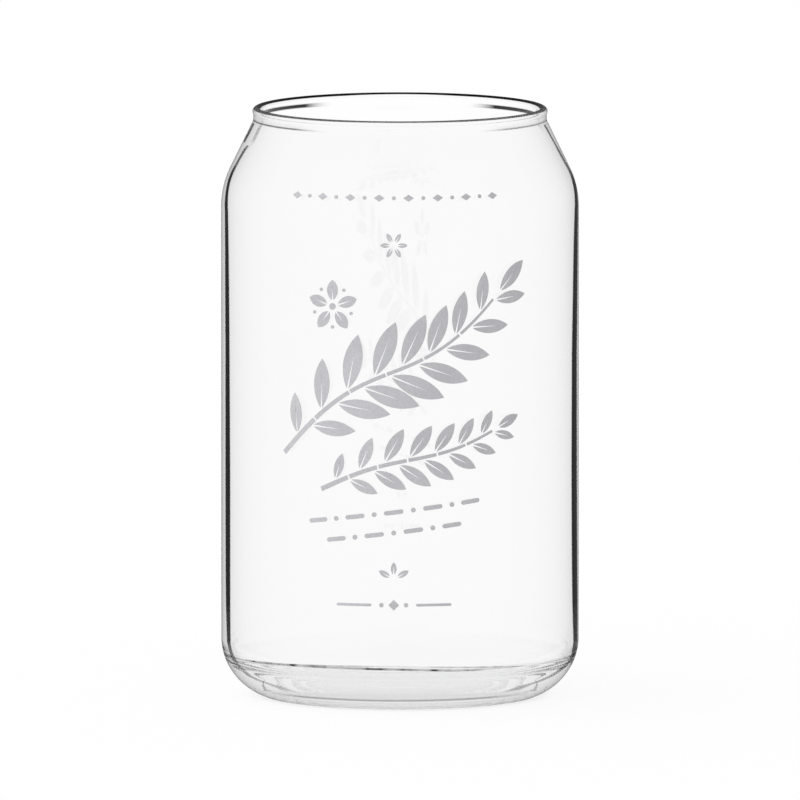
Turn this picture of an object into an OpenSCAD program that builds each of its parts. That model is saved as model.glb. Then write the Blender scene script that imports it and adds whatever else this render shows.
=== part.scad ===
// A can shaped drinking glass: one blown piece of clear glass with a fired print on its front.
// The glass is a turned section, and the print is a thin skin of enamel that lies on the wall.
// The origin is the middle of the ring that the glass stands on. +Z is up and the front faces -Y.

/* [Glass] */
// Height from the table to the top of the rim
height = 132; // [118:1:150]
// Outside diameter of the straight body
body_d = 80; // [76:1:88]
// Thickness of the wall
wall = 1.65; // [1.3:0.05:2]

/* [Shoulder and rim] */
// Outside diameter of the neck, just under the rim
neck_d = 65.6; // [60:0.2:70]
// How far the shoulder leans in from upright, in degrees
shoulder_lean = 26; // [20:1:32]
// Outside radius that turns the body into the shoulder
shoulder_r = 20; // [14:0.5:24]
// Outside radius of the hollow between the shoulder and the neck
neck_hollow_r = 2.2; // [1:0.2:3]
// Height from the foot of the neck to the top of the rim
neck_h = 3; // [2.8:0.1:5]
// Thickness of the round bead that fire polishing leaves at the rim
bead_d = 2; // [1.9:0.1:2.8]
// How far the bead stands out past the neck
bead_out = 0.2; // [0.05:0.05:0.3]

/* [Base] */
// Outside diameter of the flat ring that the glass stands on
foot_d = 61.6; // [56:0.2:66]
// Width of that ring
foot_w = 3; // [2:0.5:5]
// Rise of the shallow hollow under the base, in its middle
punt_h = 1.2; // [0.6:0.1:1.6]
// Slope of the heel from level, where it leaves the foot ring, in degrees
heel_slope = 22; // [16:1:28]
// Outside radius that turns the heel into the body
heel_r = 13.6; // [8:0.2:13.6]
// Thickness of the floor over the middle of the hollow
floor_t = 2.2; // [1.6:0.1:4]
// Slope at which the floor dishes up into the wall, in degrees
dish_slope = 42; // [34:1:46]
// Height of the corner where the dish would meet the inside of the wall
dish_corner_z = 9.7; // [8:0.1:12]
// Radius that turns the flat floor into the dish
dish_r = 12; // [6:1:14]
// Inside radius where the dish turns up into the wall
dish_corner_r = 2; // [0.6:0.1:3]

/* [Sprigs] */
// Height of the middle of the large sprig above the middle of the straight wall
sprig_up = 15.5; // [12:0.5:20]
// Width of the large sprig's stem, along the wall
sprig_w = 50; // [46:1:56]
// Rise of the large sprig's stem
sprig_h = 35; // [33:1:38]
// Length of the large sprig's longest leaf
leaf_l = 13; // [9:0.5:14]
// Width of the large sprig's longest leaf
leaf_w = 4.4; // [3:0.2:4.6]
// Width of the small sprig's stem
small_w = 40; // [34:1:43]
// Rise of the small sprig's stem
small_h = 13; // [8:1:15]
// Length of the small sprig's longest leaf
small_leaf_l = 8.6; // [6:0.2:9.2]
// Width of the small sprig's longest leaf
small_leaf_w = 3.1; // [2:0.1:3.3]
// Width of a stem at its foot
stem_w = 1.1; // [0.8:0.1:1.4]
// Bare width of the vein at a leaf's foot
vein_w = 0.44; // [0.3:0.02:0.6]
// Length of a petal of the blossom
petal_l = 4.6; // [3:0.2:5.4]

/* [Rows and rules] */
// Thickness of the fired enamel
ink_t = 0.12; // [0.08:0.02:0.2]
// Bare gap between the marks that make up a sprig
ink_gap = 0.4; // [0.3:0.1:0.8]
// Diameter of a dot
dot_d = 1; // [0.7:0.1:1.3]
// Length of a lozenge
lozenge_l = 2.4; // [1.6:0.2:2.8]
// Marks in the row along the shoulder
row_marks = 15; // [11:2:17]
// Length of the row along the shoulder, measured along the wall
row_w = 46; // [40:1:54]
// Length of the double row of dashes under the sprigs
dash_row_w = 35; // [33:1:42]
// Height of the middle of the sprigs over the upper row of dashes
dash_drop = 31.5; // [31:0.5:36]
// Height between the two rows of dashes
dash_gap = 4.6; // [3.6:0.2:5.4]
// Length of a dash
dash_l = 4.4; // [3:0.2:4.8]
// Width of a dash
dash_w = 1; // [0.6:0.1:1.3]
// Height of the upper row of dashes over the bud
bud_drop = 15; // [12:0.5:16]
// Height of the bud over the rules
rule_drop = 5.8; // [5:0.1:7]
// Length of each rule at the foot of the print
rule_l = 8; // [4:0.5:12]
// Distance of each rule from the middle of the print
rule_gap = 5; // [4:0.5:7]

/* [Hidden] */
$fn = 144;

// Glass, outside: corners of the section before they are rounded
body_r = body_d / 2;
neck_r = neck_d / 2;
foot_r = foot_d / 2;
heel_corner = [body_r, (body_r - foot_r) * tan(heel_slope)];
neck_corner = [neck_r, height - neck_h];
shoulder_corner = [body_r, neck_corner.y - (body_r - neck_r) / tan(shoulder_lean)];
rim_z = height - bead_d / 2;

// Glass, inside: the same corners, one wall further in
offset_drop = wall * tan(shoulder_lean / 2);
in_r = body_r - wall;
in_shoulder_corner = [in_r, shoulder_corner.y - offset_drop];
in_neck_corner = [neck_r - wall, neck_corner.y - offset_drop];
floor_z = punt_h + floor_t;
dish_corner = [in_r, dish_corner_z];
dish_foot = [in_r - (dish_corner_z - floor_z) / tan(dish_slope), floor_z];

// Hollow under the base: the radius of the arc that spans it
punt_half = foot_r - foot_w;
punt_r = (punt_half * punt_half + punt_h * punt_h) / (2 * punt_h);
punt_fn = 720;

// Straight wall: where it starts over the heel and ends under the shoulder
wall_low = heel_corner.y + heel_r * tan((90 - heel_slope) / 2);
wall_high = shoulder_corner.y - shoulder_r * tan(shoulder_lean / 2);
wall_mid = (wall_low + wall_high) / 2;

// Preview colours
colour_glass = [0.86, 0.9, 0.9, 0.45];
colour_ink = [0.68, 0.68, 0.7];

// Sprigs: the middle of the stem, its width and rise, its sway, the longest leaf and the number of leaves
sprig_mid = [0, wall_mid + sprig_up];
sway = 0.07;
large_sprig = [sprig_mid, [sprig_w, sprig_h], sway * sprig_h, [leaf_l, leaf_w], 16];
small_mid = sprig_mid + [0.09 * sprig_w, -0.56 * sprig_h];
small_sprig = [small_mid, [small_w, small_h], sway * small_h, [small_leaf_l, small_leaf_w], 14];
stem_taper = 0.5;
stem_pieces = 6;
stem_lead = 0.03;
stem_steps = 4;
stem_look = 0.01;
vein_reach = 0.72;
leaf_lead = 0.7;
leaf_rest = 0.4;
leaf_least = 0.62;
leaf_peak = 1.4;
leaf_splay = 50;
leaf_close = 12;
tip_share = [0.7, 0.75];

// Small marks: their places, and their sizes as shares of a petal, a dot or a dash
blossom_at = sprig_mid + [-0.28 * sprig_w, 0.41 * sprig_h];
blossom_plump = 0.56;
slim_plump = 0.43;
fan_start = 0.29;
star_l = petal_l * 0.52;
star_z = wall_high - petal_l;
bud_l = petal_l * 0.65;
dash_z = sprig_mid.y - dash_drop;
dash_slope = 7;
dash_half = 4;
bud_z = dash_z - bud_drop;
rule_z = bud_z - rule_drop;
rule_w = dash_w * 0.6;
row_rise = shoulder_lean * 0.66;

// How deep a flat mark reaches through the skin that it is cut from
wall_dip = body_r * 0.05;
shoulder_dip = shoulder_r * 0.03;

// Rounded outlines

function unit(v) = v / norm(v);

function turn(a, p, b) = (p.x - a.x) * (b.y - p.y) - (p.y - a.y) * (b.x - p.x);

// The sharp bit between a corner at p, whose sides run to a and b, and an arc that touches both sides
module corner_bit(a, p, b, r) {
    u = unit(a - p);
    v = unit(b - p);
    half = acos(u * v) / 2;
    reach = r / tan(half);
    centre = p + unit(u + v) * r / sin(half);
    difference() {
        polygon([p, p + u * reach, centre, p + v * reach]);
        translate(centre) circle(r);
    }
}

// A closed outline, drawn anticlockwise, with its own radius at each corner
module rounded(points, radii) {
    n = len(points);
    difference() {
        union() {
            polygon(points);
            for (i = [0 : n - 1]) {
                a = points[(i + n - 1) % n];
                b = points[(i + 1) % n];
                if (radii[i] > 0 && turn(a, points[i], b) < 0) corner_bit(a, points[i], b, radii[i]);
            }
        }
        for (i = [0 : n - 1]) {
            a = points[(i + n - 1) % n];
            b = points[(i + 1) % n];
            if (radii[i] > 0 && turn(a, points[i], b) > 0) corner_bit(a, points[i], b, radii[i]);
        }
    }
}

// Glass

module outside_section() {
    rounded(
        [[0, 0], [foot_r, 0], heel_corner, shoulder_corner, neck_corner, [neck_r, rim_z], [0, rim_z]],
        [0, 0, heel_r, shoulder_r, neck_hollow_r, 0, 0]
    );
}

module inside_section() {
    rounded(
        [[0, floor_z], dish_foot, dish_corner, in_shoulder_corner, in_neck_corner,
            [in_neck_corner.x, height], [0, height]],
        [0, dish_r, dish_corner_r, shoulder_r - wall, neck_hollow_r + wall, 0, 0]
    );
}

module glass() {
    color(colour_glass) rotate_extrude() {
        difference() {
            outside_section();
            inside_section();
            translate([0, punt_h - punt_r]) circle(punt_r, $fn = punt_fn);
        }
        translate([neck_r + bead_out - bead_d / 2, rim_z]) circle(bead_d / 2);
    }
}

// Flat marks, drawn round their own middle

module lozenge(w, h) {
    polygon([[w / 2, 0], [0, h / 2], [-w / 2, 0], [0, -h / 2]]);
}

module dash(l, w) {
    square([l - w, w], center = true);
    for (side = [-1, 1]) translate([side * (l - w) / 2, 0]) circle(w / 2);
}

// A leaf between two arcs, with its stalk end at the origin and a bare vein along its middle
module leaf(l, w) {
    r = (l * l + w * w) / (4 * w);
    difference() {
        intersection_for (side = [-1, 1]) translate([l / 2, side * (r - w / 2)]) circle(r);
        polygon([[-vein_w, vein_w / 2], [l * vein_reach, 0], [-vein_w, -vein_w / 2]]);
    }
}

// Marks laid on the glass

// A skin of enamel on the straight wall, with the flat mark wrapped at an arc length and a height
module on_wall(along, z, spin = 0) {
    intersection() {
        rotate([0, 0, along / body_r * 180 / PI - 90])
            translate([body_r - wall_dip, 0, z])
                rotate([90, 0, 90])
                    linear_extrude(2 * wall_dip) rotate(spin) children();
        difference() {
            cylinder(h = height, r = body_r + ink_t);
            translate([0, 0, -wall]) cylinder(h = height + 2 * wall, r = body_r);
        }
    }
}

// The same on the round of the shoulder, at an angle up its arc
module on_shoulder(along, rise) {
    centre = [body_r - shoulder_r, wall_high];
    radius = centre.x + shoulder_r * cos(rise);
    intersection() {
        rotate([0, 0, along / radius * 180 / PI - 90])
            translate([centre.x, 0, centre.y])
                rotate([0, -rise, 0])
                    translate([shoulder_r - shoulder_dip, 0, 0])
                        rotate([90, 0, 90])
                            linear_extrude(2 * shoulder_dip) children();
        rotate_extrude() intersection() {
            translate(centre) difference() {
                circle(shoulder_r + ink_t);
                circle(shoulder_r);
            }
            translate(centre) square(2 * shoulder_r);
        }
    }
}

// Sprigs

// A point of a sprig's stem, from its foot at 0 to its tip at 1, and the way the stem runs there
function stem(s, t) = s[0] + [(t - 0.5) * s[1].x, (t - 0.5) * s[1].y + s[2] * sin(360 * t)];

function stem_angle(s, t) = atan2(
    stem(s, t + stem_look).y - stem(s, t - stem_look).y,
    stem(s, t + stem_look).x - stem(s, t - stem_look).x
);

function stem_half(t) = stem_w * (1 - stem_taper * t) / 2;

// One stretch of the stem, which thins towards the tip
module stem_piece(s, t0, t1) {
    middle = stem(s, (t0 + t1) / 2);
    places = [for (k = [0 : 2 * stem_steps]) t0 + (t1 - t0) * k / (2 * stem_steps)];
    edge = [
        for (t = places)
            let (a = stem_angle(s, t))
                [stem(s, t) - middle, stem_half(t) * [-sin(a), cos(a)]]
    ];
    count = len(edge);
    on_wall(middle.x, middle.y) polygon(concat(
        [for (e = edge) e[0] - e[1]],
        [for (k = [1 : count]) edge[count - k][0] + edge[count - k][1]]
    ));
}

// Leaves stand off the stem on alternate sides, longest a third of the way up, and one stands at the tip
module sprig(s) {
    count = s[4];
    for (i = [0 : count - 1]) {
        t = (i + leaf_lead) / (count + leaf_rest);
        side = i % 2 == 0 ? 1 : -1;
        size = leaf_least + (1 - leaf_least) * sin(180 * pow(1 - t, leaf_peak));
        turned = stem_angle(s, t) + side * (leaf_splay - leaf_close * t);
        foot = stem(s, t) + (ink_gap + stem_w / 2) * [cos(turned), sin(turned)];
        on_wall(foot.x, foot.y, turned) leaf(s[3].x * size, s[3].y * size);
    }
    on_wall(stem(s, 1).x, stem(s, 1).y, stem_angle(s, 1)) leaf(s[3].x * tip_share.x, s[3].y * tip_share.y);
    bare = ink_gap / norm(s[1]);
    for (i = [0 : stem_pieces - 1])
        stem_piece(s, i / stem_pieces - stem_lead, (i + 1) / stem_pieces - stem_lead - bare);
}

// Small marks

// Leaves set round a point, each starting a little way out from it
module fan(at, angles, l, plump) {
    inner = l * fan_start;
    for (a = angles) on_wall(at.x + inner * cos(a), at.y + inner * sin(a), a) leaf(l, l * plump);
}

module dot_on_wall(along, z, share = 1) {
    on_wall(along, z) circle(d = dot_d * share);
}

module blossom() {
    fan(blossom_at, [18 : 72 : 306], petal_l, blossom_plump);
    dot_on_wall(blossom_at.x, blossom_at.y, 1.5);
    for (a = [-18 : 72 : 270])
        dot_on_wall(blossom_at.x + petal_l * cos(a), blossom_at.y + petal_l * sin(a), 0.8);
}

module shoulder_row() {
    for (i = [0 : row_marks - 1]) {
        along = (i / (row_marks - 1) - 0.5) * row_w;
        if (i % 2 == 0) on_shoulder(along, row_rise) lozenge(lozenge_l, lozenge_l * 0.67);
        else on_shoulder(along, row_rise) circle(d = dot_d * 0.9);
    }
}

module dash_rows() {
    pitch = dash_row_w / (2 * dash_half);
    for (row = [0, 1]) for (i = [row - dash_half : dash_half - row]) {
        along = i * pitch;
        z = dash_z + along * tan(dash_slope) - row * dash_gap;
        if ((i + row) % 2 == 0) on_wall(along, z, dash_slope) dash(dash_l, dash_w);
        else dot_on_wall(along, z, 1.1);
    }
}

module rules() {
    for (side = [-1, 1]) {
        on_wall(side * (rule_l / 2 + rule_gap), rule_z) dash(rule_l, rule_w);
        dot_on_wall(side * rule_gap * 0.55, rule_z);
    }
    on_wall(0, rule_z) lozenge(lozenge_l, lozenge_l);
}

module print() {
    color(colour_ink) {
        shoulder_row();
        fan([0, star_z], [0 : 60 : 300], star_l, slim_plump);
        sprig(large_sprig);
        sprig(small_sprig);
        blossom();
        dash_rows();
        fan([0, bud_z], [30, 90, 150], bud_l, slim_plump);
        rules();
    }
}

glass();
print();
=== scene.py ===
import math

import bpy
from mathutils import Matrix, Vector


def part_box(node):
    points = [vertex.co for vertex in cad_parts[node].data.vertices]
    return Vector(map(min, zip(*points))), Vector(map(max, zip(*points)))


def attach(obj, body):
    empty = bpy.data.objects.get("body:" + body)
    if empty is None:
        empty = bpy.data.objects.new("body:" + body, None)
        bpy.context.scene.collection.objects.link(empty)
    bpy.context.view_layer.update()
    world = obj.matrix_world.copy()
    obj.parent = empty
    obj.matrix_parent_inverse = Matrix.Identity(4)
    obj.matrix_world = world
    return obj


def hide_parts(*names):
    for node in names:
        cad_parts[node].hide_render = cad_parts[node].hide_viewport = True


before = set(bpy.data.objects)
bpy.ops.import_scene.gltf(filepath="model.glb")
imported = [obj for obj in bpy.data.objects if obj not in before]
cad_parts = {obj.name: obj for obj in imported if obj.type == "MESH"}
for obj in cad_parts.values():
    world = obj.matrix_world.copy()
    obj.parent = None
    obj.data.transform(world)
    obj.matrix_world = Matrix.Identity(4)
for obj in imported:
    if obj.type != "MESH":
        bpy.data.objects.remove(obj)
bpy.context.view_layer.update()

# Camera: a long lens eight metres away, a little above the glass and turned two degrees round it,
# so that the walls stay upright and the rim shows as a narrow ring.
CAMERA_DISTANCE = 8.0
CAMERA_RISE = math.radians(6.3)
CAMERA_TURN = math.radians(2)
LOOK_AT_Z = 0.06605
PICTURE_WIDTH = 0.179
SENSOR_MM = 36
FARTHEST_SEEN = 60

bpy.ops.object.select_all(action="DESELECT")
bpy.ops.object.camera_add(
    location=(
        CAMERA_DISTANCE * math.cos(CAMERA_RISE) * math.sin(CAMERA_TURN),
        -CAMERA_DISTANCE * math.cos(CAMERA_RISE) * math.cos(CAMERA_TURN),
        LOOK_AT_Z + CAMERA_DISTANCE * math.sin(CAMERA_RISE),
    ),
    rotation=(math.radians(90) - CAMERA_RISE, 0, CAMERA_TURN),
)
camera = bpy.context.object
camera.data.sensor_width = SENSOR_MM
camera.data.lens = SENSOR_MM * CAMERA_DISTANCE / PICTURE_WIDTH
camera.data.clip_end = FARTHEST_SEEN
bpy.context.scene.camera = camera
bpy.context.scene.view_settings.view_transform = "Standard"


# Glass: one piece of clear soda-lime glass, blown in a mould and fire polished to a bead at the rim.
# Its half section is drawn with one point, which runs from under the base up the outside, over the rim
# and down the inside, and is then spun about the upright axis.
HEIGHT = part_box("glass")[1][2]
BODY_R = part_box("glass")[1][0]
WALL = 0.00165
NECK_R = 0.0328
SHOULDER_LEAN = math.radians(26)
SHOULDER_R = 0.02
NECK_HOLLOW_R = 0.0022
NECK_H = 0.003
BEAD_R = 0.001
BEAD_OUT = 0.0002
FOOT_R = 0.0308
FOOT_W = 0.003
PUNT_H = 0.0012
HEEL_SLOPE = math.radians(22)
HEEL_R = 0.0136
FLOOR_T = 0.0022
DISH_SLOPE = math.radians(42)
DISH_CORNER_Z = 0.0097
DISH_R = 0.012
DISH_CORNER_R = 0.002
STEPS_ROUND = 240

neck_corner = (NECK_R, HEIGHT - NECK_H)
shoulder_corner = (BODY_R, neck_corner[1] - (BODY_R - NECK_R) / math.tan(SHOULDER_LEAN))
heel_corner = (BODY_R, (BODY_R - FOOT_R) * math.tan(HEEL_SLOPE))
drop = WALL * math.tan(SHOULDER_LEAN / 2)
in_neck_corner = (NECK_R - WALL, neck_corner[1] - drop)
in_shoulder_corner = (BODY_R - WALL, shoulder_corner[1] - drop)
floor_z = PUNT_H + FLOOR_T
dish_corner = (BODY_R - WALL, DISH_CORNER_Z)
dish_foot = (BODY_R - WALL - (DISH_CORNER_Z - floor_z) / math.tan(DISH_SLOPE), floor_z)
bead_at = (NECK_R + BEAD_OUT - BEAD_R, HEIGHT - BEAD_R)
bead_start = -math.acos((NECK_R - bead_at[0]) / BEAD_R)
bead_end = 2 * math.pi - math.acos((NECK_R - WALL - bead_at[0]) / BEAD_R)
punt_half = FOOT_R - FOOT_W
punt_r = (punt_half**2 + PUNT_H**2) / (2 * PUNT_H)

# A small plane is merged to one point, which then draws the section.
bpy.ops.object.select_all(action="DESELECT")
bpy.ops.mesh.primitive_plane_add(size=WALL, location=(0, 0, 0))
glass = bpy.context.object
glass.name = "blown_glass"
bpy.ops.object.mode_set(mode="EDIT")
bpy.ops.mesh.select_all(action="SELECT")
bpy.ops.mesh.merge(type="CENTER")
bpy.ops.transform.translate(value=(0, 0, PUNT_H))
pen = [0, PUNT_H]


def run_to(r, z, steps=1):
    """Pulls the section in a straight line to a radius and a height."""
    step = ((r - pen[0]) / steps, 0, (z - pen[1]) / steps)
    for _ in range(steps):
        bpy.ops.mesh.extrude_region_move(TRANSFORM_OT_translate={"value": step})
    pen[:] = [r, z]


def swing(centre, angle, steps):
    """Swings the section round a centre in its own plane, anticlockwise with the axis on the left."""
    bpy.ops.mesh.spin(steps=steps, angle=angle, center=(centre[0], 0, centre[1]), axis=(0, 1, 0))
    dr, dz = pen[0] - centre[0], pen[1] - centre[1]
    pen[:] = [
        centre[0] + dr * math.cos(angle) - dz * math.sin(angle),
        centre[1] + dr * math.sin(angle) + dz * math.cos(angle),
    ]


def round_corner(corner, after, radius, steps, run_steps=1):
    """Runs towards a corner and turns it on an arc of a radius, to head for the next corner."""
    ux, uz = pen[0] - corner[0], pen[1] - corner[1]
    vx, vz = after[0] - corner[0], after[1] - corner[1]
    u, v = math.hypot(ux, uz), math.hypot(vx, vz)
    ux, uz, vx, vz = ux / u, uz / u, vx / v, vz / v
    half = math.acos(ux * vx + uz * vz) / 2
    reach = radius / math.tan(half)
    run_to(corner[0] + ux * reach, corner[1] + uz * reach, run_steps)
    bx, bz = ux + vx, uz + vz
    b = math.hypot(bx, bz)
    centre = (
        corner[0] + bx / b * radius / math.sin(half),
        corner[1] + bz / b * radius / math.sin(half),
    )
    side = 1 if -ux * vz + uz * vx > 0 else -1
    swing(centre, side * (math.pi - 2 * half), steps)


# Steps are short where a painted dark line starts, ends or turns, so that the line stays sharp: at the
# heel, under the neck where one line hands over to the next, round the bead and inside the base.
HAND_OVER_Z = (0.1239, 0.1246)
RING_LINES_Z = (0.0125, 0.0108)

swing((0, PUNT_H - punt_r), -math.asin(punt_half / punt_r), 12)
run_to(FOOT_R, 0, 3)
round_corner(heel_corner, shoulder_corner, HEEL_R, 72, 6)
round_corner(shoulder_corner, neck_corner, SHOULDER_R, 20, 12)
for z, steps in zip(HAND_OVER_Z, (8, 14)):
    run_to(NECK_R + (neck_corner[1] - z) * math.tan(SHOULDER_LEAN), z, steps)
round_corner(neck_corner, (NECK_R, HEIGHT), NECK_HOLLOW_R, 8, 8)
run_to(NECK_R, bead_at[1] + BEAD_R * math.sin(bead_start))
swing(bead_at, bead_end - bead_start, 48)
round_corner(in_neck_corner, in_shoulder_corner, NECK_HOLLOW_R + WALL, 16, 8)
round_corner(in_shoulder_corner, dish_corner, SHOULDER_R - WALL, 20, 6)
for z, steps in zip(RING_LINES_Z, (8, 17)):
    run_to(BODY_R - WALL, z, steps)
round_corner(dish_corner, dish_foot, DISH_CORNER_R, 32, 4)
round_corner(dish_foot, (0, floor_z), DISH_R, 36, 16)
run_to(0, floor_z, 8)

bpy.ops.mesh.select_all(action="SELECT")
bpy.ops.mesh.spin(steps=STEPS_ROUND, angle=2 * math.pi, center=(0, 0, 0), axis=(0, 0, 1))
bpy.ops.mesh.select_all(action="SELECT")
bpy.ops.mesh.remove_doubles(threshold=0.000002)
bpy.ops.mesh.normals_make_consistent(inside=False)
bpy.ops.object.mode_set(mode="OBJECT")
bpy.ops.object.shade_smooth_by_angle(angle=math.radians(30))
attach(glass, "root")
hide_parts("glass")


def hex_colour(code):
    """Linear colour from an sRGB hex value."""
    parts = [int(code[i:i + 2], 16) / 255 for i in (1, 3, 5)]
    return [c / 12.92 if c <= 0.04045 else ((c + 0.055) / 1.055) ** 2.4 for c in parts] + [1.0]


def add_node(tree, kind, settings=None, **links):
    """Adds a shader node with its settings and links.

    A link goes from an input's name, or i and its number, to an output socket or a value.
    """
    node = tree.nodes.new(kind)
    for name, value in (settings or {}).items():
        setattr(node, name, value)
    for name, value in links.items():
        key = int(name[1:]) if name[0] == "i" and name[1:].isdigit() else name.replace("_", " ")
        socket = node.inputs[key]
        if isinstance(value, bpy.types.NodeSocket):
            tree.links.new(value, socket)
        else:
            socket.default_value = value
    return node


def new_material(name):
    """A material with an empty node tree, and that tree."""
    material = bpy.data.materials.new(name)
    material.use_nodes = True
    material.node_tree.nodes.clear()
    return material, material.node_tree


# Clear soda-lime glass, blown in a mould and fire polished, is smooth and clear, with a faint grey where
# it is thick. The dark lines along the walls, the shoulder, the rim and the base are painted shade: the
# glass's colour is darkened where its wall turns from the eye, by the amounts in the tables below.
#
# Turn says how far the wall is turned from the eye, on the level: from 0 where a ray out of the air
# meets it square on to 1 at its edge, and from -1 to 0 in the same way for a ray out of the glass.
# A painted dark line has a turn where it starts, a turn where it ends, a soft border and an amount.
GLASS_IOR = 1.47
GLASS_TINT = hex_colour("#cbcbd4")
TINT_PER_METRE = 0.6
TABLES_READ_AT = 0.994  # cosine of the camera's rise
FIRST_CROSSING = 1.5
BLOTCH_MM = 3.333
BLOTCH_LEAST = 0.65

clear_glass, tree = new_material("clear soda-lime glass, mould blown and fire polished")
turned = add_node(tree, "ShaderNodeLayerWeight", Blend=0.5).outputs["Facing"]
square_on = add_node(tree, "ShaderNodeMath", {"operation": "SUBTRACT"}, i0=1.0, i1=turned)
upright = add_node(tree, "ShaderNodeCombineXYZ", X=0.0, Y=0.0, Z=1.0)
lying = add_node(tree, "ShaderNodeLayerWeight", Blend=0.5, Normal=upright.outputs[0]).outputs["Facing"]
steep = add_node(tree, "ShaderNodeMath", {"operation": "SUBTRACT"}, i0=1.0, i1=lying)
steep = add_node(
    tree, "ShaderNodeMath", {"operation": "MULTIPLY"}, i0=steep.outputs[0], i1=steep.outputs[0],
)
on_level = add_node(tree, "ShaderNodeMath", {"operation": "SUBTRACT"}, i0=1.0, i1=steep.outputs[0])
on_level = add_node(tree, "ShaderNodeMath", {"operation": "SQRT"}, i0=on_level.outputs[0])
square_on = add_node(
    tree, "ShaderNodeMath", {"operation": "DIVIDE"}, i0=square_on.outputs[0], i1=on_level.outputs[0],
)
square_on = add_node(
    tree, "ShaderNodeMath", {"operation": "MULTIPLY"}, i0=square_on.outputs[0], i1=TABLES_READ_AT,
)
from_glass = add_node(tree, "ShaderNodeNewGeometry").outputs["Backfacing"]
turn = add_node(tree, "ShaderNodeMath", {"operation": "SUBTRACT"}, i0=1.0, i1=from_glass)
turn = add_node(
    tree, "ShaderNodeMath", {"operation": "SUBTRACT"}, i0=turn.outputs[0], i1=square_on.outputs[0],
)
edge = add_node(tree, "ShaderNodeAttribute", {"attribute_name": "painted_dark_edge"})
amount = add_node(tree, "ShaderNodeAttribute", {"attribute_name": "painted_dark_amount"})
line = add_node(tree, "ShaderNodeSeparateXYZ", Vector=edge.outputs["Vector"])
starts, ends, soft = line.outputs
before = add_node(tree, "ShaderNodeMath", {"operation": "SUBTRACT"}, i0=starts, i1=soft)
after = add_node(tree, "ShaderNodeMath", {"operation": "ADD"}, i0=ends, i1=soft)
fade_in = add_node(
    tree, "ShaderNodeMapRange", {"interpolation_type": "SMOOTHSTEP"},
    Value=turn.outputs[0], From_Min=before.outputs[0], From_Max=starts, To_Min=0.0, To_Max=1.0,
)
fade_out = add_node(
    tree, "ShaderNodeMapRange", {"interpolation_type": "SMOOTHSTEP"},
    Value=turn.outputs[0], From_Min=ends, From_Max=after.outputs[0], To_Min=1.0, To_Max=0.0,
)
# Painted shade: the glass's colour is darkened inside each line's window of turns, by its amount.
dark = add_node(
    tree, "ShaderNodeMath", {"operation": "MULTIPLY"}, i0=fade_in.outputs[0], i1=fade_out.outputs[0],
)
dark = add_node(
    tree, "ShaderNodeMath", {"operation": "MULTIPLY"}, i0=dark.outputs[0], i1=amount.outputs["Fac"],
)

# The painted shade falls on a ray out of the glass only as it first leaves it, in uneven patches of a few
# millimetres.
crossings = add_node(tree, "ShaderNodeLightPath").outputs["Ray Depth"]
first = add_node(tree, "ShaderNodeMath", {"operation": "LESS_THAN"}, i0=crossings, i1=FIRST_CROSSING)
place = add_node(tree, "ShaderNodeTexCoord").outputs["Object"]
patches = add_node(tree, "ShaderNodeTexNoise", Vector=place, Scale=1000 / BLOTCH_MM, Detail=3.0)
blotch = add_node(
    tree, "ShaderNodeMapRange",
    Value=patches.outputs[0], From_Min=0.4, From_Max=0.6, To_Min=BLOTCH_LEAST, To_Max=1.0,
)
leaving = add_node(
    tree, "ShaderNodeMath", {"operation": "MULTIPLY"}, i0=first.outputs[0], i1=blotch.outputs[0],
)
share = add_node(tree, "ShaderNodeMapRange", Value=from_glass, To_Min=1.0, To_Max=leaving.outputs[0])
dark = add_node(
    tree, "ShaderNodeMath", {"operation": "MULTIPLY"}, i0=dark.outputs[0], i1=share.outputs[0],
)
# The painted shade is taken off the glass's base colour.
clear = add_node(tree, "ShaderNodeMath", {"operation": "SUBTRACT"}, i0=1.0, i1=dark.outputs[0])
shader = add_node(
    tree, "ShaderNodeBsdfPrincipled",
    Base_Color=clear.outputs[0], Roughness=0.0, IOR=GLASS_IOR, Transmission_Weight=1.0,
)
tint = add_node(tree, "ShaderNodeVolumeAbsorption", Color=GLASS_TINT, Density=TINT_PER_METRE)
add_node(tree, "ShaderNodeOutputMaterial", Surface=shader.outputs[0], Volume=tint.outputs[0])
glass.data.materials.append(clear_glass)
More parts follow.
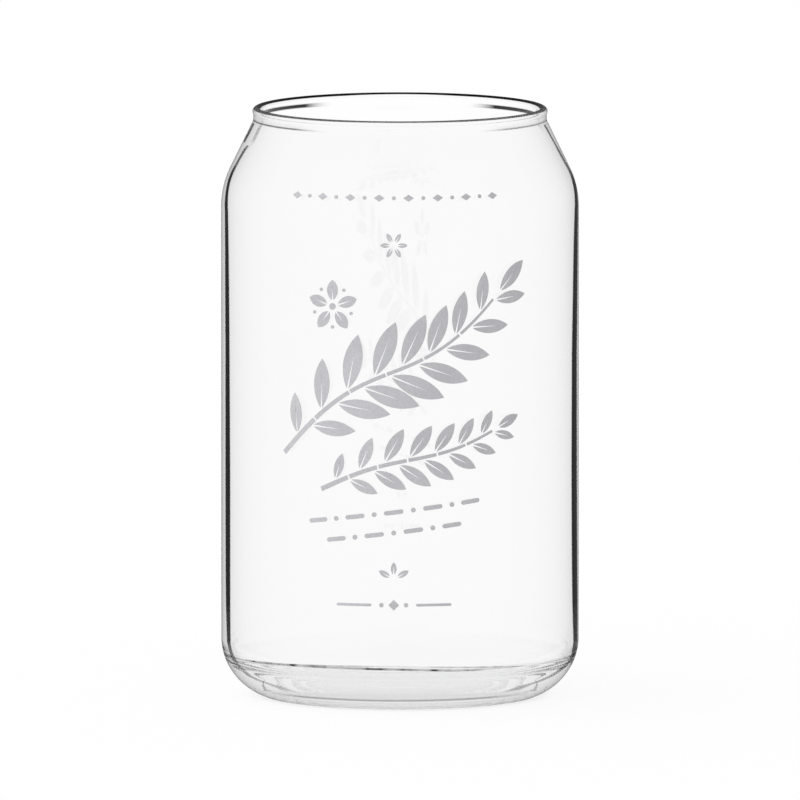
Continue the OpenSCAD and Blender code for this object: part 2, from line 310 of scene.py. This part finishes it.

# The painted dark lines, painted shade on the glass, by height in millimetres. A row holds the height,
# then for the left of the glass the turn where the line starts, the turn where it ends and its amount,
# then the same for the right, and last the soft border. The amount is 0 on both sides of a height where
# one line gives way to another.
OUTER_EDGES = [
    (0.0, 0.3, 1.2, 0.0, 0.3, 1.2, 0.0, 0.15),
    (0.65, 0.3, 1.2, 0.0, 0.3, 1.2, 0.0, 0.15),
    (0.75, 0.3, 1.2, 0.35, 0.3, 1.2, 0.35, 0.15),
    (0.85, 0.3, 1.2, 0.0, 0.3, 1.2, 0.0, 0.15),
    (1.45, 0.3, 1.2, 0.0, 0.3, 1.2, 0.0, 0.15),
    (1.55, 0.3, 1.2, 0.3, 0.3, 1.2, 0.3, 0.15),
    (1.65, 0.3, 1.2, 0.0, 0.3, 1.2, 0.0, 0.15),
    (2.1, 0.3, 1.2, 0.0, 0.3, 1.2, 0.0, 0.15),
    (2.3, 0.3, 1.2, 0.7, 0.3, 1.2, 0.7, 0.15),
    (2.6, 0.3, 1.2, 0.7, 0.3, 1.2, 0.7, 0.15),
    (2.8, 0.3, 1.2, 0.0, 0.3, 1.2, 0.0, 0.15),
    (3.3, 0.3, 1.2, 0.0, 0.3, 1.2, 0.0, 0.15),
    (3.45, 0.53, 0.57, 0.0, 0.525, 0.575, 0.0, 0.025),
    (3.93, 0.53, 0.57, 0.5, 0.525, 0.575, 0.7, 0.025),
    (4.66, 0.535, 0.575, 0.6, 0.53, 0.58, 0.72, 0.025),
    (5.14, 0.58, 0.62, 0.7, 0.575, 0.63, 0.75, 0.025),
    (5.97, 0.635, 0.675, 0.8, 0.635, 0.7, 0.8, 0.025),
    (6.6, 0.645, 0.685, 0.76, 0.67, 0.74, 0.78, 0.025),
    (7.7, 0.66, 0.7, 0.72, 0.73, 0.81, 0.8, 0.025),
    (8.5, 0.68, 0.72, 0.76, 0.78, 0.855, 0.9, 0.025),
    (9.8, 0.685, 0.735, 0.9, 0.79, 0.875, 0.97, 0.02),
    (11.3, 0.69, 0.73, 0.96, 0.77, 0.875, 0.98, 0.02),
    (13.0, 0.69, 0.745, 1.0, 0.77, 0.885, 1.0, 0.02),
    (17.5, 0.695, 0.765, 1.0, 0.75, 0.89, 1.0, 0.02),
    (31.0, 0.695, 0.777, 1.0, 0.735, 0.867, 1.0, 0.02),
    (50.0, 0.695, 0.78, 1.0, 0.726, 0.85, 1.0, 0.02),
    (78.0, 0.705, 0.777, 1.0, 0.733, 0.845, 1.0, 0.02),
    (90.0, 0.71, 0.784, 1.0, 0.75, 0.867, 1.0, 0.02),
    (106.0, 0.725, 0.787, 1.0, 0.775, 0.887, 1.0, 0.02),
    (112.0, 0.735, 0.795, 1.0, 0.8, 0.9, 1.0, 0.02),
    (114.2, 0.75, 0.805, 1.0, 0.815, 0.95, 1.0, 0.02),
    (116.4, 0.762, 0.816, 1.0, 0.83, 0.945, 1.0, 0.02),
    (118.5, 0.766, 0.815, 1.0, 0.835, 0.9, 0.97, 0.02),
    (120.7, 0.76, 0.797, 0.97, 0.815, 0.867, 0.96, 0.02),
    (122.6, 0.742, 0.781, 0.98, 0.803, 0.85, 0.96, 0.02),
    (123.5, 0.73, 0.767, 0.93, 0.803, 0.836, 0.96, 0.02),
    (124.15, 0.715, 0.745, 0.88, 0.8, 0.83, 0.96, 0.02),
    (124.3, 0.71, 0.74, 0.0, 0.798, 0.83, 0.96, 0.02),
    (124.35, 0.845, 0.91, 0.0, 0.797, 0.829, 0.96, 0.02),
    (124.5, 0.842, 0.908, 0.98, 0.797, 0.829, 0.96, 0.02),
    (126.0, 0.831, 0.905, 1.0, 0.783, 0.811, 0.96, 0.02),
    (127.1, 0.823, 0.898, 0.97, 0.776, 0.806, 0.97, 0.02),
    (128.6, 0.821, 0.891, 0.97, 0.76, 0.79, 0.97, 0.02),
    (128.85, 0.821, 0.891, 0.0, 0.76, 0.79, 0.0, 0.02),
    (128.86, 0.35, 1.2, 0.0, 0.35, 1.2, 0.0, 0.2),
    (129.0, 0.35, 1.2, 0.0, 0.35, 1.2, 0.0, 0.2),
    (129.15, 0.3, 1.2, 0.97, 0.35, 1.2, 0.85, 0.2),
    (129.4, 0.3, 1.2, 0.97, 0.35, 1.2, 0.85, 0.2),
    (129.55, 0.35, 1.2, 0.0, 0.35, 1.2, 0.0, 0.2),
    (131.58, 0.3, 0.95, 0.0, 0.3, 0.95, 0.0, 0.15),
    (131.65, 0.3, 0.95, 0.98, 0.3, 0.95, 0.98, 0.15),
    (132.1, 0.3, 0.95, 0.98, 0.3, 0.95, 0.98, 0.15),
]
INNER_EDGES = [
    (11.9, -1.1, -0.5, 0.0, -1.1, -0.5, 0.0, 0.02),
    (11.91, 0.84, 1.2, 0.0, 0.84, 1.2, 0.0, 0.04),
    (123.4, 0.82, 1.2, 0.0, 0.84, 1.2, 0.0, 0.04),
    (124.2, 0.82, 1.2, 1.0, 0.84, 1.2, 0.0, 0.04),
    (127.0, 0.82, 1.2, 1.0, 0.84, 1.2, 0.0, 0.04),
    (127.8, 0.84, 1.2, 1.0, 0.84, 1.2, 0.9, 0.04),
    (128.3, 0.84, 1.2, 0.0, 0.84, 1.2, 0.0, 0.04),
    (128.31, 0.3, 1.2, 0.0, 0.3, 1.2, 0.0, 0.15),
    (129.1, 0.27, 1.2, 0.0, 0.27, 1.2, 0.0, 0.15),
    (129.25, 0.27, 1.2, 1.0, 0.27, 1.2, 1.0, 0.15),
    (130.0, 0.27, 1.2, 1.0, 0.27, 1.2, 1.0, 0.15),
    (130.15, 0.27, 1.2, 0.0, 0.27, 1.2, 0.0, 0.15),
    (131.5, 0.2, 0.93, 0.0, 0.2, 0.93, 0.0, 0.06),
    (131.58, 0.2, 0.93, 1.0, 0.2, 0.93, 1.0, 0.06),
    (132.1, 0.2, 0.93, 1.0, 0.2, 0.93, 1.0, 0.06),
]

# Painted dark lines of the rim and the base that aren't level. Heights and widths are in millimetres.
# Across runs from -1 at the left of the glass to 1 at its right.
RIM_LINE = (128.8, 130.6)
RIM_LINE_DIPS_LEFT = 0.38

FOOT_LINES_TOP = 3.3
FOOT_LINES_END = (0.85, 0.6)

# In the base two painted dark lines run round the inside of the wall, with a band of painted shade
# between them at the sides.
# A line has its height in front, its fall at the sides, its fall to the right and its rise to the left.
# A shade has its amount, and how far across it starts and is full.
RING_TOP = 11.9
LOWER_LINE = (10.0, 1.7, 1.0, 0.6)
UPPER_LINE = (10.62, 2.3, 0.6, 0.0)
LOWER_HALF_WIDTH = 0.26
UPPER_HALF_WIDTH = 0.15
LINE_BORDER = 0.06
UPPER_IN_FRONT = 0.45
UPPER_AT_LEFT = (0.5, 0.1, 0.25)
UPPER_AT_RIGHT = (0.4, 0.15, 0.3)
BAND_AT_LEFT = (0.65, 0.25, 0.45)
BAND_AT_RIGHT = (0.5, 0.35, 0.55)
RING_LINES_END = (0.95, 0.86)


def between(table, z):
    """The painted dark line at a height, drawn out evenly between the heights in a table."""
    if z <= table[0][0]:
        return table[0][1:]
    for under, over in zip(table, table[1:]):
        if z <= over[0]:
            way = (z - under[0]) / (over[0] - under[0])
            return tuple(u + (o - u) * way for u, o in zip(under[1:], over[1:]))
    return table[-1][1:]


def ramp(value, start, end):
    """How far a value has come from a start to an end, from 0 to 1."""
    return min(max((value - start) / (end - start), 0), 1)


def shade(across, amount, starts, full):
    """How dark a painted shade of the base is at a place across the glass."""
    return amount * ramp(across, starts, full)


def line_z(across, front, falls_at_sides, falls_right, rises_left):
    """The height of a painted dark line in the base."""
    z = front - falls_at_sides * (1 - math.sqrt(1 - across**2))
    return z - falls_right * max(across, 0) + rises_left * max(-across, 0)


def line_at(z, height, half_width):
    """How much of a painted dark line in the base is met at a height."""
    return ramp(abs(z - height), half_width + LINE_BORDER, half_width - LINE_BORDER)


# Each point of the glass stores the painted dark line at its height: its window, border and amount.
glass.data.attributes.new("painted_dark_edge", "FLOAT_VECTOR", "POINT")
amounts = glass.data.attributes.new("painted_dark_amount", "FLOAT", "POINT")
# The second attribute moves the first in memory, so the first is looked up after it.
edges = glass.data.attributes["painted_dark_edge"]
for vertex, edge_here, amount_here in zip(glass.data.vertices, edges.data, amounts.data):
    r = math.hypot(vertex.co.x, vertex.co.y)
    outward = vertex.normal.x * vertex.co.x + vertex.normal.y * vertex.co.y > 0
    z = vertex.co.z * 1000
    across = vertex.co.x / r if r > 0 else 0
    if not outward and RIM_LINE[0] < z < RIM_LINE[1]:
        z -= RIM_LINE_DIPS_LEFT * max(-across, 0)
    row = between(OUTER_EDGES if outward else INNER_EDGES, z)
    right = 0.5 + 0.5 * across
    start, end, much = (row[i] + (row[i + 3] - row[i]) * right for i in range(3))
    if outward and z < FOOT_LINES_TOP:
        much *= ramp(abs(across), *FOOT_LINES_END)
    if not outward and z < RING_TOP:
        lower, upper = line_z(across, *LOWER_LINE), line_z(across, *UPPER_LINE)
        upper_much = UPPER_IN_FRONT + shade(-across, *UPPER_AT_LEFT) + shade(across, *UPPER_AT_RIGHT)
        band = shade(-across, *BAND_AT_LEFT) + shade(across, *BAND_AT_RIGHT)
        much = max(
            line_at(z, lower, LOWER_HALF_WIDTH),
            upper_much * line_at(z, upper, UPPER_HALF_WIDTH),
            band if lower < z < upper else 0,
        ) * ramp(abs(across), *RING_LINES_END)
    edge_here.vector = start, end, row[6]
    amount_here.value = much


# Print: grey glass enamel, screen printed on the front of the wall and fired on. It is the CAD node
# itself, a thin skin of a hundred marks, which follows the wall and needs only its finish.
#
# Fired enamel is glass with pigment: an even grey with a satin gloss, a little thicker and thinner
# where the screen was pulled, with a fine grain.
ENAMEL_THIN = hex_colour("#b7b7bb")
ENAMEL_THICK = hex_colour("#c9c9cd")
ENAMEL_IOR = 1.5
PULL_MM = 8.333
GRAIN_MM = 0.4

enamel, tree = new_material("grey glass enamel, screen printed and fired")
place = add_node(tree, "ShaderNodeTexCoord").outputs["Object"]
pull = add_node(tree, "ShaderNodeTexNoise", Vector=place, Scale=1000 / PULL_MM, Detail=2.0)
grain = add_node(tree, "ShaderNodeTexNoise", Vector=place, Scale=1000 / GRAIN_MM, Detail=1.0)
tone = add_node(
    tree, "ShaderNodeMix", {"data_type": "RGBA"}, i0=pull.outputs[0], i6=ENAMEL_THIN, i7=ENAMEL_THICK,
)
speck = add_node(
    tree, "ShaderNodeMapRange",
    Value=grain.outputs[0], From_Min=0.3, From_Max=0.7, To_Min=0.94, To_Max=1.04,
)
tone = add_node(
    tree, "ShaderNodeMix", {"data_type": "RGBA", "blend_type": "MULTIPLY"},
    i0=1.0, i6=tone.outputs[2], i7=speck.outputs[0],
)
satin = add_node(
    tree, "ShaderNodeMapRange",
    Value=pull.outputs[0], From_Min=0.3, From_Max=0.7, To_Min=0.38, To_Max=0.52,
)
tooth = add_node(tree, "ShaderNodeBump", Height=grain.outputs[0], Strength=0.3, Distance=0.00002)
shader = add_node(
    tree, "ShaderNodeBsdfPrincipled",
    Base_Color=tone.outputs[2], Roughness=satin.outputs[0], IOR=ENAMEL_IOR, Normal=tooth.outputs[0],
)
add_node(tree, "ShaderNodeOutputMaterial", Surface=shader.outputs[0])
for slot in bpy.data.objects["print"].material_slots:
    slot.material = enamel


# Floor: a sheet of white paper under the glass and far behind it, just clear of the foot so that the
# two faces don't fight. The studio's light is plain and soft and comes from all round.
#
# Paper is matt and nearly white, with a fine tooth of fibres. Most of what is seen of it is its own
# even white, and the rest takes the light and keeps the soft shadow under the glass. Under the glass
# its own white is weaker, as painted shade that makes that shadow darker.
FLOOR_R = 8
FLOOR_DROP = 0.0001
FIBRE_MM = 1.111
PAPER_TONES = (0.92, 0.96)
SHADOW_FROM_R, SHADOW_TO_R = 0.0305, 0.0345
EVEN_UNDER_GLASS, EVEN_AROUND = 0.75, 0.92
SEEN_IN_REFLECTION = 0.1
SEEN_INSIDE_GLASS = 0.92

bpy.ops.object.select_all(action="DESELECT")
bpy.ops.mesh.primitive_circle_add(
    vertices=128, radius=FLOOR_R, fill_type="NGON", location=(0, 0, -FLOOR_DROP),
)
bpy.ops.object.transform_apply(location=True, rotation=False, scale=False)
floor = bpy.context.object
floor.name = "floor"


def studio_seen(tree):
    """How bright the studio looks, and whether it is seen or only lights.

    It is plain to the eye and through glass, and dimmer once a ray was reflected.
    """
    path = add_node(tree, "ShaderNodeLightPath")
    reflected = add_node(
        tree, "ShaderNodeMath", {"operation": "MINIMUM"}, i0=path.outputs["Glossy Depth"], i1=1.0,
    )
    entered = add_node(
        tree, "ShaderNodeMath", {"operation": "MINIMUM"}, i0=path.outputs["Transmission Depth"], i1=1.0,
    )
    dimmed = add_node(
        tree, "ShaderNodeMapRange",
        Value=entered.outputs[0], To_Min=SEEN_IN_REFLECTION, To_Max=SEEN_INSIDE_GLASS,
    )
    level = add_node(
        tree, "ShaderNodeMapRange", Value=reflected.outputs[0], To_Min=1.0, To_Max=dimmed.outputs[0],
    )
    seen = add_node(
        tree, "ShaderNodeMath", {"operation": "MAXIMUM"},
        i0=path.outputs["Is Glossy Ray"], i1=path.outputs["Is Transmission Ray"],
    )
    seen = add_node(
        tree, "ShaderNodeMath", {"operation": "MAXIMUM"},
        i0=path.outputs["Is Camera Ray"], i1=seen.outputs[0],
    )
    return level.outputs[0], seen.outputs[0]


paper, tree = new_material("white paper, matt and uncoated")
level, seen = studio_seen(tree)
place = add_node(tree, "ShaderNodeTexCoord").outputs["Object"]
fibre = add_node(tree, "ShaderNodeTexNoise", Vector=place, Scale=1000 / FIBRE_MM, Detail=4.0)
white = add_node(
    tree, "ShaderNodeMapRange",
    Value=fibre.outputs[0], From_Min=0.3, From_Max=0.7, To_Min=PAPER_TONES[0], To_Max=PAPER_TONES[1],
)
white = add_node(tree, "ShaderNodeMath", {"operation": "MULTIPLY"}, i0=level, i1=white.outputs[0])
tooth = add_node(tree, "ShaderNodeBump", Height=fibre.outputs[0], Strength=0.2, Distance=0.0001)
lit = add_node(tree, "ShaderNodeBsdfDiffuse", Color=white.outputs[0], Normal=tooth.outputs[0])
even = add_node(tree, "ShaderNodeEmission", Color=hex_colour("#ffffff"), Strength=level)
away = add_node(tree, "ShaderNodeVectorMath", {"operation": "LENGTH"}, i0=place)
# Painted shade: the floor's own white is weaker under the glass than around it.
even_share = add_node(
    tree, "ShaderNodeMapRange", Value=away.outputs["Value"],
    From_Min=SHADOW_FROM_R, From_Max=SHADOW_TO_R, To_Min=EVEN_UNDER_GLASS, To_Max=EVEN_AROUND,
)
even_share = add_node(tree, "ShaderNodeMath", {"operation": "MULTIPLY"}, i0=seen, i1=even_share.outputs[0])
mix = add_node(
    tree, "ShaderNodeMixShader", i0=even_share.outputs[0], i1=lit.outputs[0], i2=even.outputs[0],
)
add_node(tree, "ShaderNodeOutputMaterial", Surface=mix.outputs[0])
floor.data.materials.append(paper)


# Studio: a white room, a little dimmer overhead where it is seen. As light it is brighter at the left
# than at the right. Rays may cross the glass many times, as its thick base and its bead need.
OVERHEAD = 0.9
OVERHEAD_FROM, OVERHEAD_TO = 0.45, 0.75
LIGHT_AT_LEFT, LIGHT_AT_RIGHT = 1.78, 0.32
CROSSINGS_ALL, CROSSINGS_THROUGH = 160, 64

studio = bpy.data.worlds.new("studio")
studio.use_nodes = True
bpy.context.scene.world = studio
tree = studio.node_tree
tree.nodes.clear()
level, seen = studio_seen(tree)
towards = add_node(tree, "ShaderNodeTexCoord").outputs["Generated"]
towards = add_node(tree, "ShaderNodeSeparateXYZ", Vector=towards)
overhead = add_node(
    tree, "ShaderNodeMapRange", {"interpolation_type": "SMOOTHSTEP"}, Value=towards.outputs["Z"],
    From_Min=OVERHEAD_FROM, From_Max=OVERHEAD_TO, To_Min=1.0, To_Max=OVERHEAD,
)
strength = add_node(tree, "ShaderNodeMath", {"operation": "MULTIPLY"}, i0=overhead.outputs[0], i1=level)
side = add_node(
    tree, "ShaderNodeMapRange", Value=towards.outputs["X"],
    From_Min=-1.0, From_Max=1.0, To_Min=LIGHT_AT_LEFT, To_Max=LIGHT_AT_RIGHT,
)
light = add_node(tree, "ShaderNodeBackground", Color=hex_colour("#ffffff"), Strength=side.outputs[0])
room = add_node(tree, "ShaderNodeBackground", Color=hex_colour("#ffffff"), Strength=strength.outputs[0])
mix = add_node(tree, "ShaderNodeMixShader", i0=seen, i1=light.outputs[0], i2=room.outputs[0])
add_node(tree, "ShaderNodeOutputWorld", Surface=mix.outputs[0])

bpy.context.scene.cycles.max_bounces = CROSSINGS_ALL
bpy.context.scene.cycles.glossy_bounces = CROSSINGS_ALL
bpy.context.scene.cycles.transmission_bounces = CROSSINGS_THROUGH
